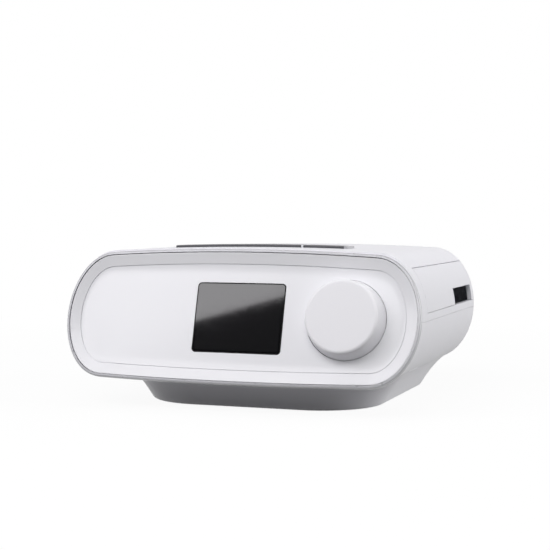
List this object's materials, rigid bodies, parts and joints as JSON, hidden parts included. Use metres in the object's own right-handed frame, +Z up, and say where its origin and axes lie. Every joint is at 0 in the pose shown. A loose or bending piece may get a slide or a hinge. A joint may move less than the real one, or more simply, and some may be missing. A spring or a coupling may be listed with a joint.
{
  "type": "cpap machine",
  "caption": "Bedside air-pressure machine with a rounded white body, leaning glossy face, colour display, turn-and-press dial, top buttons, side doors and a rear hose port.",
  "frame": {"origin": "centre of the bottom of the bounding box, on the surface the machine stands on", "axes": "+Z up, the face looks along -Y, +X to the right of someone facing it"},
  "size_m": [0.1922, 0.1572, 0.0844],
  "materials": {
    "casing_white": "satin-gloss moulded ABS",
    "face_white": "high-gloss moulded panel",
    "dial_white": "smooth satin",
    "trim_silver": "silver-grey paint",
    "bezel_white": "fine matte",
    "button_grey": "fine matte",
    "screen_black": "polished clear window with a black border",
    "display_dark": "smooth",
    "back_grey": "fine spark texture",
    "duct_grey": "as moulded",
    "soft_black": "matte",
    "steel": "machined",
    "board_green": "solder mask",
    "component_black": "moulded",
    "filter_fibre": "needled fibre",
    "foam_grey": "open-cell foam"
  },
  "bodies": {
    "casing": {"upper_casing": "casing_white", "lower_casing": "casing_white", "front_panel": "face_white", "front_rim": "trim_silver", "bezel_end_cap": "trim_silver", "button_bezel": "bezel_white", "screen_window": "screen_black", "display_module": "display_dark", "rear_cover": "back_grey", "power_inlet": "back_grey", "humidifier_connector": "back_grey", "air_outlet": "duct_grey", "outlet_duct": "duct_grey", "inlet_duct": "duct_grey", "blower_lower_housing": "duct_grey", "blower_upper_housing": "duct_grey", "filter_frame": "duct_grey", "display_bracket": "duct_grey", "accessory_cover": "duct_grey", "rubber_feet": "soft_black", "blower_mounts": "soft_black", "outlet_seal": "soft_black", "filter_door_pins": "steel", "accessory_door_pins": "steel", "casing_screws": "steel", "board_screws": "steel", "shaft_bearings": "steel", "motor_stator": "steel", "front_board": "board_green", "main_board": "board_green", "button_board": "board_green", "board_components": "component_black", "light_sensor": "component_black", "flow_sensor": "component_black", "rotary_encoder": "component_black", "button_switches": "component_black", "sd_card_socket": "component_black", "fine_filter": "filter_fibre", "pollen_filter": "filter_fibre", "sound_foam": "foam_grey"},
    "dial_plunger": {"encoder_plunger": "component_black"},
    "dial": {"control_dial": "dial_white", "dial_shaft": "steel"},
    "ramp_key": {"ramp_button": "button_grey"},
    "therapy_key": {"therapy_button": "button_grey"},
    "right_door": {"filter_door": "casing_white"},
    "left_door": {"accessory_door": "casing_white"},
    "rotor": {"impeller": "duct_grey", "motor_shaft": "steel"},
    "card": {"sd_card": "component_black"}
  },
  "joints": [
    {"name": "dial_press", "type": "slide", "parent": "casing", "child": "dial_plunger", "axis": [0, 0.9608, -0.2773], "range_m": [0, 0.0008], "stiffness_N_per_m": 1500, "springref_m": -0.0005},
    {"name": "dial_turn", "type": "hinge", "parent": "dial_plunger", "child": "dial", "pos_m": [0.0585, -0.06814, 0.0495], "axis": [0, -0.9608, 0.2773], "continuous": true},
    {"name": "ramp_press", "type": "slide", "parent": "casing", "child": "ramp_key", "axis": [0, 0, -1], "range_m": [0, 0.0006], "stiffness_N_per_m": 1500, "springref_m": -0.0005},
    {"name": "therapy_press", "type": "slide", "parent": "casing", "child": "therapy_key", "axis": [0, 0, -1], "range_m": [0, 0.0006], "stiffness_N_per_m": 1500, "springref_m": -0.0005},
    {"name": "filter_door_hinge", "type": "hinge", "parent": "casing", "child": "right_door", "pos_m": [0.08675, 0, 0.0727], "axis": [0, -1, 0], "range_deg": [0, 75]},
    {"name": "accessory_door_hinge", "type": "hinge", "parent": "casing", "child": "left_door", "pos_m": [-0.08675, 0, 0.0727], "axis": [0, 1, 0], "range_deg": [0, 75]},
    {"name": "impeller_spin", "type": "hinge", "parent": "casing", "child": "rotor", "pos_m": [-0.006, 0, 0.04251], "axis": [0, 0, 1], "continuous": true},
    {"name": "sd_card_push", "type": "slide", "parent": "casing", "child": "card", "axis": [1, 0, 0], "range_m": [-0.001, 0.002]}
  ]
}
